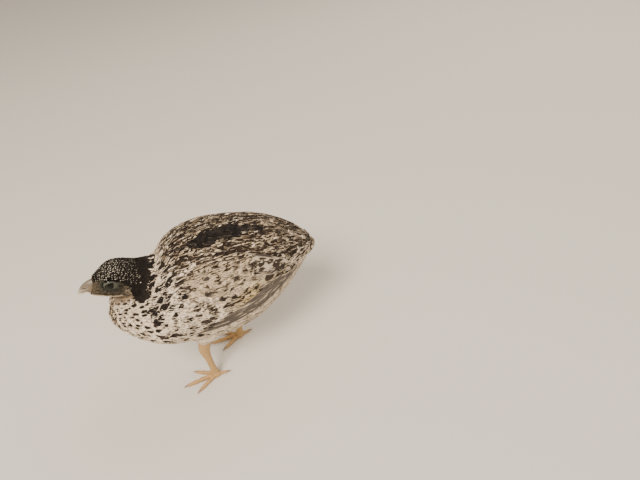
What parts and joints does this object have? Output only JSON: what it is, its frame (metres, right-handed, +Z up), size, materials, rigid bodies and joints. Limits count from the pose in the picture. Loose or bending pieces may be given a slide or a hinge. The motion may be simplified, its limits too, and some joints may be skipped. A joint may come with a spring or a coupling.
{
  "type": "coturnix quail",
  "caption": "Life-size still model of a speckled coturnix quail hen, standing with its head held low and forward, wings folded.",
  "frame": {"origin": "middle of the bounding box at floor level, under the feet", "axes": "-X towards the beak, -Y the bird's left side, +Z up"},
  "size_m": [0.153, 0.075, 0.118],
  "materials": {
    "body_feathers": "soft matte feathers, cream white with black-brown spots and streaks",
    "head_feathers": "short matte feathers, black with fine white dots",
    "flight_feathers": "smooth feather vanes with a faint sheen",
    "beak_horn": "satin keratin",
    "eye": "wet gloss",
    "leg_skin": "scaled skin, faint sheen",
    "claw_horn": "satin keratin"
  },
  "bodies": {
    "root": {"torso": "body_feathers", "neck": "body_feathers", "head": "head_feathers", "tail": "flight_feathers", "beak_upper": "beak_horn", "beak_lower": "beak_horn", "eye_left": "eye", "wing_left": "flight_feathers", "thigh_left": "body_feathers", "shank_left": "leg_skin", "foot_left": "leg_skin", "eye_right": "eye", "wing_right": "flight_feathers", "thigh_right": "body_feathers", "shank_right": "leg_skin", "foot_right": "leg_skin", "claw_left_middle": "claw_horn", "claw_left_inner": "claw_horn", "claw_left_outer": "claw_horn", "claw_left_hind": "claw_horn", "claw_right_middle": "claw_horn", "claw_right_inner": "claw_horn", "claw_right_outer": "claw_horn", "claw_right_hind": "claw_horn"}
  },
  "joints": []
}
